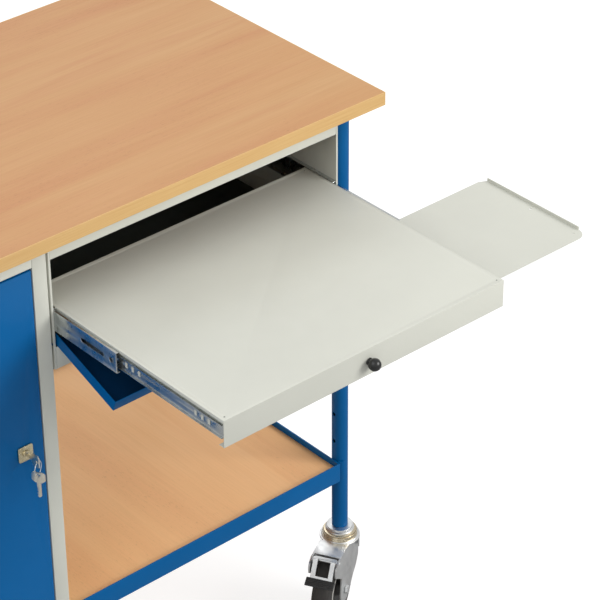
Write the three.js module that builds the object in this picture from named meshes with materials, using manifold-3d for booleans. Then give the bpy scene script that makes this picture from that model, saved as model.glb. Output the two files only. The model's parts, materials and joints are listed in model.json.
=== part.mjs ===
// Mobile workbench: four tube legs on braked swivel castors, a beech worktop and lower shelf,
// a lockable cabinet on the left and, on the right, a sheet housing with a drop flap, a pull-out
// tray on telescopic slides and a small side tray that slides out from under it.
//
// Millimetres, +Z up, the front faces -Y. While it is built, X and Y are measured from the middle
// of the worktop and Z from the floor. The last lines move the whole to the middle of its box.

import * as THREE from 'three';
import { mergeVertices } from 'three/addons/utils/BufferGeometryUtils.js';
import Module from 'manifold-3d';

const wasm = await Module();
wasm.setup();

// ---------------------------------------------------------------- driving dimensions

const worktopWidth = 1120;
const worktopDepth = 650;
const worktopThickness = 25;
const benchHeight = 1102;
const frontRecess = 20;          // worktop edge to the front of the cabinet, housing and legs
const endOverhang = 57;          // worktop end to the outside of a leg
const fitGap = 0.3;              // between pieces that touch
const sheet = 1.5;               // cabinet and housing sheet
const thinSheet = 1.2;           // tray, flap and slide sheet

const legRadius = 15;
const legWall = 1.5;
const legHoleRadius = 4;
const legHolePitch = 60;
const legHoleCount = 8;
const legSegments = 20;

const castorHeight = 197;
const wheelRadius = 80;
const wheelWidth = 34;
const castorTrail = 45;
const castorHeading = 209;       // degrees, the way every wheel trails at rest
const axleRadius = 5;

const shelfRimHeight = 352;
const railHeight = 40;
const railFoot = 30;
const railThickness = 3;
const shelfThickness = 25;

const cabinetWidth = 324;
const cabinetDepth = 605;
const sideGap = 4;               // leg to casing, and cabinet to housing
const stileWidth = 27;
const frameLip = 12;
const topRailHeight = 30;
const bottomRailHeight = 30;
const doorGap = 3;
const doorDepth = 18;
const innerShelfHeight = 597;
const innerShelfLip = 20;

const lockFromDoorEdge = 37;
const lockHeight = 709;
const barrelRadius = 6;
const barrelClearance = 0.3;
const keyThickness = 2;
const keyWidth = 7;
const keyBowLength = 20;
const keyBowWidth = 24;
const keyReach = 40;             // middle of the bow to the tip of the blade
const keyEyeIn = 5;              // flat end of the bow to the middle of its eye
const keyHoleRadius = 2.6;
const keyStandOff = 29;          // door face to the middle of the key's bow
const ringRadius = 13;
const ringWire = 0.8;
const ringTurn = 30;             // degrees about Z, how far the ring hangs out of square

const housingHeight = 237;
const housingLowRail = 41.8;
const wallReturn = 3.9;
const backReturn = 15;

const slideSpace = 11;           // housing wall to the tray's edge, filled by the slides
const trayDepth = 488;
const trayTopHeight = 954;
const trayApron = 50;
const trayReach = 414.5;         // tray front to the front of the housing, pulled out
const trayHem = 6;
const trayOverhang = 3.6;        // tray edge beyond the tray's side wall
const knobRadius = 12.5;

const slideAxisDrop = 22;        // tray top to the middle of the slides
const slideLength = 450;
const outerSlideHeight = 44;
const middleSlideHeight = 38;
const middleSlideLength = 380;
const middleSlideReach = 161;    // middle member's front end to the front of the housing
const innerSlideHeight = 25;

const mouseTrayDepth = 248;
const mouseTrayLength = 306;
const mouseTrayShown = 264;      // how far it stands out past the tray's edge
const mouseTrayBack = 103;       // its back edge to the front of the housing
const mouseTrayDrop = 50;        // tray top to the side tray's top
const mouseTrayLip = 6;
const guideLip = 18;

const flapLength = 162;
const flapFlange = 20.5;
const flapDrop = 20;             // degrees below level when it hangs open
const flapPivotIn = 6;           // front of the housing back to the pivot
const flapPivotUp = 5.2;         // low rail's top up to the pivot
const flapSkinOut = 2.4;         // pivot to the outer skin
const flapHeel = 4;              // skin below the pivot
const flapPinRadius = 3;

// ---------------------------------------------------------------- places worked out from them

const front = -worktopDepth / 2 + frontRecess;
const back = front + cabinetDepth;
const underTop = benchHeight - worktopThickness;
const casingTop = underTop - fitGap;
const legX = worktopWidth / 2 - endOverhang - legRadius;
const legY = worktopDepth / 2 - frontRecess - legRadius;
const casingEdge = legX - legRadius - sideGap;
const cabinetLeft = -casingEdge;
const cabinetRight = cabinetLeft + cabinetWidth;
const housingLeft = cabinetRight + sideGap;
const housingRight = casingEdge;
const housingMiddle = (housingLeft + housingRight) / 2;
const housingBottom = underTop - housingHeight;
const lowRailTop = housingBottom + housingLowRail;
const shelfBottom = shelfRimHeight - railHeight + railThickness + fitGap;
const shelfTop = shelfBottom + shelfThickness;
const cabinetBottom = shelfTop + fitGap;
const trayLeft = housingLeft + slideSpace;
const trayRight = housingRight - slideSpace;
const trayFront = front - trayReach;
const slideHeight = trayTopHeight - slideAxisDrop;
const doorFront = front;
const lockX = cabinetRight - stileWidth - doorGap - lockFromDoorEdge;

// ---------------------------------------------------------------- finishes

const finish = {
  beech: { color: 0xd2a377, roughness: 0.45, metalness: 0 },
  blue: { color: 0x1a5a97, roughness: 0.4, metalness: 0.05 },
  grey: { color: 0xcfd0c6, roughness: 0.5, metalness: 0.05 },
  zinc: { color: 0x9aa7b0, roughness: 0.35, metalness: 0.9 },
  nickel: { color: 0xb9b3a6, roughness: 0.25, metalness: 1 },
  black: { color: 0x1b1b1b, roughness: 0.45, metalness: 0 },
  tyre: { color: 0x2a2826, roughness: 0.8, metalness: 0 },
};

// ---------------------------------------------------------------- making solids

function signedVolume(geometry) {
  const p = geometry.attributes.position;
  const index = geometry.index;
  const a = new THREE.Vector3();
  const b = new THREE.Vector3();
  const c = new THREE.Vector3();
  let sum = 0;
  for (let i = 0; i < index.count; i += 3) {
    a.fromBufferAttribute(p, index.getX(i));
    b.fromBufferAttribute(p, index.getX(i + 1));
    c.fromBufferAttribute(p, index.getX(i + 2));
    sum += a.dot(b.cross(c));
  }
  return sum / 6;
}

// A closed geometry becomes a solid for joining and cutting, with its faces pointing out.
function solidOf(geometry) {
  const plain = geometry.clone();
  plain.deleteAttribute('normal');
  plain.deleteAttribute('uv');
  const merged = mergeVertices(plain, 1e-4);
  const triVerts = new Uint32Array(merged.index.array);
  if (signedVolume(merged) < 0) {
    for (let i = 0; i < triVerts.length; i += 3) {
      const second = triVerts[i + 1];
      triVerts[i + 1] = triVerts[i + 2];
      triVerts[i + 2] = second;
    }
  }
  const vertProperties = new Float32Array(merged.attributes.position.array);
  return new wasm.Manifold(new wasm.Mesh({ numProp: 3, vertProperties, triVerts }));
}

function geometryOf(solid) {
  const mesh = solid.getMesh();
  const geometry = new THREE.BufferGeometry();
  geometry.setAttribute('position', new THREE.BufferAttribute(mesh.vertProperties, 3));
  geometry.setIndex(new THREE.BufferAttribute(mesh.triVerts, 1));
  return geometry;
}

const join = (...pieces) => geometryOf(pieces.map(solidOf).reduce((all, next) => all.add(next)));
const cut = (piece, ...tools) => geometryOf(tools.map(solidOf).reduce((left, tool) => left.subtract(tool), solidOf(piece)));
const keep = (piece, shape) => geometryOf(solidOf(piece).intersect(solidOf(shape)));

function box(x0, x1, y0, y1, z0, z1) {
  const geometry = new THREE.BoxGeometry(x1 - x0, y1 - y0, z1 - z0);
  return geometry.translate((x0 + x1) / 2, (y0 + y1) / 2, (z0 + z1) / 2);
}

// A flat outline pushed along an axis. The outline is in YZ for X, in XZ for Y and in XY for Z.
function prism(axis, outline, from, to) {
  const shape = new THREE.Shape(outline.map(([u, v]) => new THREE.Vector2(u, v)));
  const geometry = new THREE.ExtrudeGeometry(shape, { depth: to - from, bevelEnabled: false });
  const turn = new THREE.Matrix4();
  if (axis === 'x') turn.set(0, 0, 1, from, 1, 0, 0, 0, 0, 1, 0, 0, 0, 0, 0, 1);
  if (axis === 'y') turn.set(1, 0, 0, 0, 0, 0, -1, to, 0, 1, 0, 0, 0, 0, 0, 1);
  if (axis === 'z') turn.makeTranslation(0, 0, from);
  return geometry.applyMatrix4(turn);
}

// A round bar along an axis: centre gives the two coordinates across it, in the order above.
function rod(axis, radius, centre, from, to, segments = 20) {
  return prism(axis, arc(centre, radius, 0, 360, segments).slice(0, -1), from, to);
}

// Points along an arc, from one angle to another in degrees.
function arc([u, v], radius, start, end, steps) {
  const points = [];
  for (let i = 0; i <= steps; i += 1) {
    const angle = THREE.MathUtils.degToRad(start + ((end - start) * i) / steps);
    points.push([u + radius * Math.cos(angle), v + radius * Math.sin(angle)]);
  }
  return points;
}

// A profile of [radius, height] turned about a vertical line through x, y.
function turned(profile, segments, x = 0, y = 0) {
  const points = profile.map(([radius, height]) => new THREE.Vector2(radius, height));
  const geometry = new THREE.LatheGeometry(points, segments);
  return geometry.rotateX(Math.PI / 2).translate(x, y, 0);
}

// The outline of a folded sheet: its outer line, and the same line moved in by the thickness.
// side is +1 where the sheet lies to the left of the line as it is walked, -1 to the right.
function folded(line, thickness, side) {
  const inner = line.map((point, i) => {
    const before = line[Math.max(i - 1, 0)];
    const after = line[Math.min(i + 1, line.length - 1)];
    const first = i > 0 ? normalOf(before, point) : normalOf(point, after);
    const second = i < line.length - 1 ? normalOf(point, after) : first;
    const share = 1 + first[0] * second[0] + first[1] * second[1];
    const step = (side * thickness) / share;
    return [point[0] + step * (first[0] + second[0]), point[1] + step * (first[1] + second[1])];
  });
  return [...line, ...inner.reverse()];
}

function normalOf(a, b) {
  const length = Math.hypot(b[0] - a[0], b[1] - a[1]);
  return [-(b[1] - a[1]) / length, (b[0] - a[0]) / length];
}

const bench = new THREE.Group();

function add(name, geometry, look, parent = bench) {
  const mesh = new THREE.Mesh(geometry, new THREE.MeshStandardMaterial(look));
  mesh.name = name;
  parent.add(mesh);
  return mesh;
}

// ---------------------------------------------------------------- worktop and lower shelf

const halfWidth = worktopWidth / 2;
const halfDepth = worktopDepth / 2;
add('worktop_board', box(-halfWidth, halfWidth, -halfDepth, halfDepth, underTop, benchHeight), finish.beech);

const railX = legX - legRadius - fitGap;      // outside of the end rails, against the legs
const railY = railThickness + 0.5 - front;    // outside of the long rails, clear of the cabinet
const railLow = shelfRimHeight - railHeight;

// An angle rail: an upright blade outside and a foot pointing in under the board.
function longRail(side) {
  const line = [[side * railY, shelfRimHeight], [side * railY, railLow], [side * (railY - railFoot), railLow]];
  return prism('x', folded(line, railThickness, side > 0 ? -1 : 1), -railX, railX);
}

// The end rails stop short of the long ones, and are notched over the long rails' feet.
function endRail(side) {
  const bladeEnd = railY - railThickness - fitGap;
  const footEnd = railY - railFoot - fitGap;
  const footTop = railLow + railThickness;
  const outline = [
    [-footEnd, railLow], [footEnd, railLow], [footEnd, footTop + fitGap], [bladeEnd, footTop + fitGap],
    [bladeEnd, shelfRimHeight], [-bladeEnd, shelfRimHeight], [-bladeEnd, footTop + fitGap],
    [-footEnd, footTop + fitGap],
  ];
  const blade = [side * railX, side * (railX - railThickness)].sort((u, v) => u - v);
  const foot = [side * (railX - 1), side * (railX - railFoot)].sort((u, v) => u - v);
  return join(prism('x', outline, ...blade), box(...foot, -footEnd, footEnd, railLow, footTop));
}

add('shelf_rail_front', longRail(-1), finish.blue);
add('shelf_rail_back', longRail(1), finish.blue);
add('shelf_rail_left', endRail(-1), finish.blue);
add('shelf_rail_right', endRail(1), finish.blue);

const boardX = railX - railThickness - fitGap;
const boardY = railY - railThickness - fitGap;
add('lower_shelf_board', box(-boardX, boardX, -boardY, boardY, shelfBottom, shelfTop), finish.beech);

// ---------------------------------------------------------------- legs, saddles and castors

const corners = [['front_right', 1, -1], ['front_left', -1, -1], ['rear_right', 1, 1], ['rear_left', -1, 1]];

function leg(sideX, x, y) {
  const profile = [
    [legRadius - legWall, castorHeight],
    [legRadius, castorHeight],
    [legRadius, casingTop],
    [legRadius - legWall, casingTop],
    [legRadius - legWall, castorHeight],
  ];
  const firstHole = shelfRimHeight + 42;
  const holes = [];
  for (let i = 0; i < legHoleCount; i += 1) {
    const height = firstHole + i * legHolePitch;
    const inner = x - sideX * (legRadius + 2);
    holes.push(rod('x', legHoleRadius, [y, height], Math.min(inner, x), Math.max(inner, x), 12));
  }
  return cut(turned(profile, legSegments, x, y), ...holes);
}

// A curved plate that joins the corner of the shelf frame to the leg.
function saddle(sideX, sideY, x, y) {
  const inner = legRadius + fitGap;
  const outer = inner + railThickness;
  const start = sideX * sideY < 0 ? 216 : 324;
  const end = sideX * sideY < 0 ? 256 : 284;
  const turn = sideY < 0 ? 0 : 180;
  const near = arc([x, y], inner, start + turn, end + turn, 6);
  const far = arc([x, y], outer, end + turn, start + turn, 6);
  return prism('z', [...near, ...far], railLow, shelfRimHeight);
}

// The castor is drawn with its swivel axis at the origin and its wheel trailing along +X.
const raceTop = castorHeight - fitGap;
const crownRadius = 37.5;
const crownLow = wheelRadius * 2 + 10;
const crownTop = crownLow + 14;
const forkInner = wheelWidth / 2 + 7.5;
const forkOuter = forkInner + railThickness;
const pedalPivot = [castorTrail + 35, crownLow - 4];
const stemRadius = legRadius - legWall - 0.5;

function castorHead() {
  const profile = [
    [0, crownLow + 5], [19, crownLow + 5], [19, crownTop - 4], [30.5, crownTop - 4], [30.5, crownTop + 2.5],
    [27, crownTop + 3.5], [27, crownTop + 6.5], [23, crownTop + 8], [23, raceTop - 4], [24.5, raceTop - 3],
    [24.5, raceTop - 0.6], [23, raceTop], [stemRadius, raceTop], [stemRadius, raceTop + 60],
    [stemRadius - 3, raceTop + 64], [0, raceTop + 64],
  ];
  return turned(profile, 24);
}

// One side of the fork: it drops from the crown to the axle, and a wing reaches out to the pedal.
function forkSide() {
  return [
    [-28, crownLow + 2], [-28, crownLow - 58], [-15, crownLow - 75], [castorTrail - 41, wheelRadius + 3],
    [castorTrail - 31, wheelRadius - 8], ...arc([castorTrail, wheelRadius], 26, 207, 382, 8),
    [castorTrail + 22, crownLow - 49], [castorTrail + 55, crownLow - 24], [castorTrail + 55, crownLow - 12],
    [castorTrail + 52, crownLow - 4], [castorTrail + 40, crownLow + 3],
  ];
}

function castorFork() {
  const crown = turned([
    [20, crownLow], [crownRadius, crownLow], [crownRadius, crownLow + 3], [32.4, crownLow + 3.6],
    [32, crownTop - 0.6], [31.4, crownTop], [31, crownTop - 4.5], [20, crownTop - 4.5], [20, crownLow],
  ], 24);
  const skirtLow = crownLow - 29;
  const ring = turned([
    [crownRadius - railThickness, skirtLow], [crownRadius - 0.2, skirtLow], [crownRadius - 0.2, crownLow + 1],
    [crownRadius - railThickness, crownLow + 1], [crownRadius - railThickness, skirtLow],
  ], 24);
  const skirt = keep(ring, box(-60, -12, -60, 60, skirtLow - 5, crownLow + 5));
  const plates = [-1, 1].map((hand) => {
    const from = Math.min(hand * forkInner, hand * forkOuter);
    return prism('y', forkSide(), from, from + railThickness);
  });
  const bridge = prism('x', [
    [-forkOuter, crownLow], [forkOuter, crownLow], [forkOuter, crownLow + 4], [-forkOuter, crownLow + 4],
  ], 32, castorTrail + 28);
  const body = join(crown, skirt, ...plates, bridge);
  const clear = turned([[0, crownLow - 30], [19.6, crownLow - 30], [19.6, crownTop + 9], [0, crownTop + 9]], 24);
  const overRace = turned([[0, crownTop - 4.4], [30.9, crownTop - 4.4], [30.9, crownTop + 20], [0, crownTop + 20]], 24);
  const axleHole = rod('y', axleRadius + 0.05, [castorTrail, wheelRadius], -40, 40, 12);
  const pinHole = rod('y', 2.65, pedalPivot, -40, 40, 12);
  return cut(body, clear, overRace, axleHole, pinHole);
}

function castorWheel() {
  const half = wheelWidth / 2;
  const hub = half + 6.5;
  const rim = wheelRadius * 0.6;
  const side = [
    [wheelRadius, 5], [wheelRadius - 3, half - 4], [wheelRadius - 10, half], [rim, half],
    [rim - 3, half - 4], [17, half - 4], [14, hub], [6.3, hub],
  ];
  const other = side.map(([radius, height]) => [radius, -height]).reverse();
  return turned([...other, ...side, [6.3, -hub]], 32).rotateX(Math.PI / 2);
}

function castorAxle() {
  const headed = join(
    rod('y', axleRadius, [0, 0], -forkOuter - 7, forkOuter + 1.5, 12),
    rod('y', 8.5, [0, 0], forkOuter + fitGap, forkOuter + 6, 6),
    rod('y', 8.5, [0, 0], -forkOuter - 6.5, -forkOuter - fitGap, 6),
  );
  return headed;
}

// The brake pedal: a lever with a window over the tyre, and a ribbed step pad at its end.
function brakePedal() {
  const half = forkInner - 0.8;
  const lever = prism('y', folded([[-4, 5], [7, 6], [26, -22]], 2.5, -1), -half + 2, half - 2);
  const window = prism('y', [[2.9, -2.2], [14.4, -19.1], [27.6, -10.1], [16.1, 6.8]], -11, 11);
  const pad = prism('y', [[23.5, -22], [36, -34.5], [39, -31], [31, -20.5], [23, -15.5]], -28, 28);
  const eyes = [-1, 1].map((hand) => {
    const from = hand > 0 ? half - 3 : -half;
    return prism('y', [...arc([0, 0], 5, 90, 300, 8), [8, -2], [8, 4]], from, from + 3);
  });
  const pin = rod('y', 2.5, [0, 0], -forkOuter - 1, forkOuter + 1, 12);
  return join(cut(lever, window), pad, ...eyes, pin);
}

for (const [place, sideX, sideY] of corners) {
  const x = sideX * legX;
  const y = sideY * legY;
  add(`leg_${place}`, leg(sideX, x, y), finish.blue);
  add(`shelf_saddle_${place}`, saddle(sideX, sideY, x, y), finish.blue);
  const castor = new THREE.Group();
  castor.position.set(x, y, 0);
  castor.rotation.z = THREE.MathUtils.degToRad(castorHeading);
  bench.add(castor);
  add(`castor_head_${place}`, castorHead(), finish.zinc, castor);
  add(`castor_fork_${place}`, castorFork(), finish.zinc, castor);
  add(`castor_wheel_${place}`, castorWheel(), finish.tyre, castor).position.set(castorTrail, 0, wheelRadius);
  add(`castor_axle_${place}`, castorAxle(), finish.zinc, castor).position.set(castorTrail, 0, wheelRadius);
  if (sideY < 0) {
    add(`brake_pedal_${place}`, brakePedal(), finish.black, castor).position.set(pedalPivot[0], 0, pedalPivot[1]);
  }
}

// ---------------------------------------------------------------- cabinet

const frameInnerLeft = cabinetLeft + stileWidth;
const frameInnerRight = cabinetRight - stileWidth;
const innerLeft = cabinetLeft + sheet + fitGap;
const innerRight = cabinetRight - sheet - fitGap;

// A side wall folded into the front stile and its lip, and into a flange at the back.
function cabinetSide(edge, inward) {
  const line = [
    [edge + inward * stileWidth, front + frameLip], [edge + inward * stileWidth, front], [edge, front],
    [edge, back], [edge + inward * backReturn, back],
  ];
  return prism('z', folded(line, sheet, -inward), cabinetBottom, casingTop);
}

add('cabinet_side_left', cabinetSide(cabinetLeft, 1), finish.grey);
add('cabinet_side_right', cabinetSide(cabinetRight, -1), finish.grey);

const backSheetOut = back - sheet - fitGap;
add('cabinet_back', box(innerLeft, innerRight, backSheetOut - sheet, backSheetOut, cabinetBottom, casingTop), finish.grey);

const casingBackIn = backSheetOut - sheet - fitGap;
const railFrom = frameInnerLeft + fitGap;
const railTo = frameInnerRight - fitGap;
const doorTopRailLow = casingTop + fitGap - topRailHeight;

// The front rail under the worktop, with a flange at its top and a lip at its foot.
function topRail(from, to, lip) {
  const line = [[front + 25, casingTop], [front, casingTop], [front, doorTopRailLow], [front + lip, doorTopRailLow]];
  return prism('x', folded(line, sheet, 1), from, to);
}

const bottomRailTop = cabinetBottom + bottomRailHeight;
const floorLine = [
  [front + frameLip, bottomRailTop], [front, bottomRailTop], [front, cabinetBottom], [casingBackIn, cabinetBottom],
];
add('cabinet_top_rail', topRail(railFrom, railTo, frameLip), finish.grey);
add('cabinet_floor', prism('x', folded(floorLine, sheet, 1), railFrom, railTo), finish.grey);

const shelfFrontY = front + 30;
const innerShelfLine = [
  [shelfFrontY, innerShelfHeight - innerShelfLip], [shelfFrontY, innerShelfHeight],
  [casingBackIn, innerShelfHeight], [casingBackIn, innerShelfHeight - innerShelfLip],
];
add('cabinet_inner_shelf', prism('x', folded(innerShelfLine, thinSheet, -1), innerLeft, innerRight), finish.grey);

// ---------------------------------------------------------------- door, lock and keys

const doorLeft = frameInnerLeft + doorGap;
const doorRight = frameInnerRight - doorGap;
const doorLow = bottomRailTop + doorGap;
const doorHigh = doorTopRailLow - doorGap - 1;
const lockHoleRadius = 10.5;

function door() {
  const shell = box(doorLeft, doorRight, doorFront, doorFront + doorDepth, doorLow, doorHigh);
  const hollow = box(
    doorLeft + sheet, doorRight - sheet, doorFront + sheet, doorFront + doorDepth + 1, doorLow + sheet, doorHigh - sheet,
  );
  const lockHole = rod('y', lockHoleRadius, [lockX, lockHeight], doorFront - 5, doorFront + 5, 20);
  return cut(shell, hollow, lockHole);
}
add('cabinet_door', door(), finish.blue);

function lockBody() {
  const half = 14.5;
  const plate = prism('y', [
    ...arc([lockX + half - 4, lockHeight + half - 4], 4, 0, 90, 4), ...arc([lockX - half + 4, lockHeight + half - 4], 4, 90, 180, 4),
    ...arc([lockX - half + 4, lockHeight - half + 4], 4, 180, 270, 4), ...arc([lockX + half - 4, lockHeight - half + 4], 4, 270, 360, 4),
  ], doorFront - 3, doorFront - fitGap);
  const neck = rod('y', lockHoleRadius - 0.5, [lockX, lockHeight], doorFront - 1, doorFront + 25, 20);
  const bore = rod('y', barrelRadius + barrelClearance, [lockX, lockHeight], doorFront - 10, doorFront + 40, 20);
  return cut(join(plate, neck), bore);
}
add('lock_body', lockBody(), finish.nickel);

const camBack = doorFront + 29;
const camReach = 46;

function lockBarrel() {
  const barrel = rod('y', barrelRadius, [lockX, lockHeight], doorFront - 4.5, camBack, 20);
  const slotHalf = keyThickness / 2 + fitGap;
  const slot = box(
    lockX - slotHalf, lockX + slotHalf, doorFront - 10, doorFront + 22,
    lockHeight - keyWidth / 2 - fitGap, lockHeight + keyWidth / 2 + fitGap,
  );
  const cam = prism('y', [
    ...arc([lockX, lockHeight], 8, 0, 180, 8), [lockX - 6, lockHeight - camReach], [lockX + 6, lockHeight - camReach],
  ], camBack - 2.5, camBack);
  return cut(join(barrel, cam), slot);
}
add('lock_barrel', lockBarrel(), finish.nickel);

// A key lying in the YZ plane with the middle of its bow at the origin and its blade along +Y.
const eyeFromMiddle = keyBowLength / 2 - keyEyeIn;

function key() {
  const end = keyBowLength / 2;
  const broad = keyBowWidth / 2;
  const outline = [
    [-end, -broad + 3], [-end + 3, -broad], [end - 5, -broad], [end, -broad + 6],
    [end, broad - 6], [end - 5, broad], [-end + 3, broad], [-end, broad - 3],
  ];
  const bow = cut(
    prism('x', outline, -keyThickness / 2, keyThickness / 2),
    rod('x', keyHoleRadius, [-eyeFromMiddle, 0], -5, 5, 12),
  );
  const half = keyWidth / 2;
  const tip = keyReach;
  const blade = prism('x', [
    [end - 2, -half], [tip - 3, -half], [tip, 0], [tip - 3, half], [tip - 6, 1.8], [tip - 9, half], [tip - 12, 1.2],
    [tip - 15, half], [tip - 18, 2], [tip - 21, half], [end - 2, half],
  ], -keyThickness / 2, keyThickness / 2);
  const bladeClear = keyThickness / 2 - 0.05;
  return join(bow, keep(blade, box(-bladeClear, bladeClear, 0, 60, -10, 10)));
}

const bowY = doorFront - keyStandOff;
add('key', key(), finish.nickel).position.set(lockX, bowY, lockHeight);

// The ring goes through the key's eye and hangs below it, and the spare key hangs on the ring.
const eyeY = bowY - eyeFromMiddle;
const hanging = new THREE.Group();
hanging.position.set(lockX, eyeY, lockHeight);
hanging.rotation.z = THREE.MathUtils.degToRad(ringTurn);
bench.add(hanging);
const ring = new THREE.TorusGeometry(ringRadius, ringWire, 8, 24).rotateX(Math.PI / 2);
add('key_ring', geometryOf(solidOf(ring)), finish.zinc, hanging).position.set(0, 0, -ringRadius);
const spare = add('spare_key', key().rotateX(-Math.PI / 2), finish.nickel, hanging);
spare.position.set(0, 0, -2 * ringRadius - eyeFromMiddle);

// ---------------------------------------------------------------- housing

const returnGap = wallReturn + fitGap;

function pivotHole(x) {
  const pivotY = front + flapPivotIn;
  const pivotZ = lowRailTop + flapPivotUp;
  return rod('x', flapPinRadius + 0.3, [pivotY, pivotZ], x - 5, x + 5, 16);
}

function housingSide(edge, inward) {
  const line = [
    [edge + inward * wallReturn, front], [edge, front], [edge, back], [edge + inward * backReturn, back],
  ];
  return cut(prism('z', folded(line, sheet, -inward), housingBottom, casingTop), pivotHole(edge + inward * 2.5));
}

add('housing_side_left', housingSide(housingLeft, 1), finish.grey);
add('housing_side_right', housingSide(housingRight, -1), finish.grey);

const hollowLeft = housingLeft + sheet + fitGap;
const hollowRight = housingRight - sheet - fitGap;
add('housing_back', box(hollowLeft, hollowRight, backSheetOut - sheet, backSheetOut, housingBottom, casingTop), finish.grey);

const housingFloorLine = [
  [front + frameLip, lowRailTop], [front, lowRailTop], [front, housingBottom], [casingBackIn, housingBottom],
];
const mouthLeft = housingLeft + returnGap;
const mouthRight = housingRight - returnGap;
add('housing_floor', prism('x', folded(housingFloorLine, sheet, 1), mouthLeft, mouthRight), finish.grey);
add('housing_top_rail', topRail(mouthLeft, mouthRight, 8), finish.grey);

// ---------------------------------------------------------------- drop flap

// Drawn closed and upright about its pivot, then swung down to where it hangs open.
function flap() {
  const left = mouthLeft + 3 - housingMiddle;
  const skin = -flapSkinOut;
  const inside = skin + flapFlange;
  const high = flapLength - flapHeel;
  const shell = box(left, -left, skin, inside, -flapHeel, high);
  const hollow = box(left + thinSheet, -left - thinSheet, skin + thinSheet, inside + 1, -flapHeel - 1, high - thinSheet);
  const pins = [-1, 1].map((hand) => {
    const inner = hand * (-left - 2);
    const outer = hand * (housingRight - housingMiddle - 0.4);
    return rod('x', flapPinRadius, [0, 0], Math.min(inner, outer), Math.max(inner, outer), 16);
  });
  return join(cut(shell, hollow), ...pins);
}

const swing = new THREE.Group();
swing.position.set(housingMiddle, front + flapPivotIn, lowRailTop + flapPivotUp);
swing.rotation.x = THREE.MathUtils.degToRad(90 + flapDrop);
bench.add(swing);
add('drop_flap', flap(), finish.blue, swing);

// ---------------------------------------------------------------- telescopic slides

const slideFront = front + 2;
const outerWeb = housingLeft + sheet + 0.2;
const outerTip = trayLeft - 1.4;
const middleWeb = housingLeft + returnGap;
const middleTip = trayLeft - 0.6;
const innerTip = trayLeft - 1.5;
const innerWeb = trayLeft + trayOverhang - fitGap;
const middleFront = front - middleSlideReach;
const innerFront = trayFront + 4;

// A channel on its side: the web stands at one x and both flanges reach to the other.
function channel(web, tip, height, from, to) {
  const half = height / 2;
  const line = [[tip, slideHeight - half], [web, slideHeight - half], [web, slideHeight + half], [tip, slideHeight + half]];
  return prism('y', folded(line, thinSheet, web < tip ? -1 : 1), from, to);
}

function slot(x, from, to, height) {
  const half = height / 2;
  const ends = [
    ...arc([to - half, slideHeight], half, -90, 90, 6), ...arc([from + half, slideHeight], half, 90, 270, 6),
  ];
  return prism('x', ends, x - 2, x + 2);
}

function outerSlide() {
  return channel(outerWeb, outerTip, outerSlideHeight, slideFront, slideFront + slideLength);
}

function middleSlide() {
  const body = channel(middleWeb, middleTip, middleSlideHeight, middleFront, middleFront + middleSlideLength);
  const x = middleWeb;
  return cut(body, slot(x, middleFront + 32, middleFront + 92, 8), slot(x, middleFront + 9, middleFront + 19, 9.5));
}

function innerSlide() {
  const body = channel(innerWeb, innerTip, innerSlideHeight, innerFront, innerFront + slideLength);
  const holes = [30, 46, 62, 200, 216, 232].map((from) => slot(innerWeb, innerFront + from, innerFront + from + 7, 6));
  return cut(body, ...holes);
}

// The right-hand slides are the left-hand ones mirrored about the middle of the housing.
function mirrored(geometry) {
  const other = geometry.clone().scale(-1, 1, 1).translate(2 * housingMiddle, 0, 0);
  return geometryOf(solidOf(other));
}

for (const [name, make] of [['outer', outerSlide], ['middle', middleSlide], ['inner', innerSlide]]) {
  add(`slide_${name}_left`, make(), finish.zinc);
  add(`slide_${name}_right`, mirrored(make()), finish.zinc);
}

// ---------------------------------------------------------------- pull-out tray and side tray

const trayBack = trayFront + trayDepth;
const trayUnder = trayTopHeight - thinSheet;
const sideWallLow = slideHeight - innerSlideHeight / 2 + 0.5;

function tray() {
  const wall = trayOverhang + thinSheet;
  const apronLow = trayTopHeight - trayApron;
  const hemLow = trayTopHeight - trayHem;
  const section = [
    [trayLeft, hemLow], [trayLeft + thinSheet, hemLow], [trayLeft + thinSheet, trayUnder],
    [trayLeft + trayOverhang, trayUnder], [trayLeft + trayOverhang, sideWallLow], [trayLeft + wall, sideWallLow],
    [trayLeft + wall, trayUnder], [trayRight - wall, trayUnder], [trayRight - wall, sideWallLow],
    [trayRight - trayOverhang, sideWallLow], [trayRight - trayOverhang, trayUnder], [trayRight - thinSheet, trayUnder],
    [trayRight - thinSheet, hemLow], [trayRight, hemLow], [trayRight, trayTopHeight], [trayLeft, trayTopHeight],
  ];
  const apronLine = [[trayFront + 12, apronLow], [trayFront, apronLow], [trayFront, trayTopHeight]];
  const apron = prism('x', folded(apronLine, thinSheet, -1), trayLeft, trayRight);
  const backWall = box(
    trayLeft + trayOverhang, trayRight - trayOverhang, trayBack - thinSheet, trayBack, sideWallLow, trayTopHeight,
  );
  const inset = 8.5;
  const holes = [];
  for (const x of [trayLeft + inset, trayRight - inset]) {
    for (const y of [trayFront + inset, trayBack - inset]) {
      holes.push(rod('z', 1.6, [x, y], trayUnder - 2, trayTopHeight + 2, 8));
    }
  }
  return cut(join(prism('y', section, trayFront, trayBack), apron, backWall), ...holes);
}
add('pull_out_tray', tray(), finish.grey);

function knob() {
  const reach = 14;
  const profile = [[0, 0], [7, 0], [7, 1.5], [5, 3.5]];
  for (const [r, z] of arc([0, reach], knobRadius, -62, 90, 8)) profile.push([Math.max(r, 0), z]);
  profile[profile.length - 1][0] = 0;
  return turned(profile, 20).rotateX(Math.PI / 2);
}
const knobAt = new THREE.Vector3(housingMiddle, trayFront - fitGap, trayTopHeight - trayApron / 2);
add('tray_knob', knob(), finish.black).position.copy(knobAt);

const mouseTop = trayTopHeight - mouseTrayDrop;
const mouseBack = front - mouseTrayBack;
const mouseFront = mouseBack - mouseTrayDepth;
const mouseOut = trayRight + mouseTrayShown;

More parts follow.
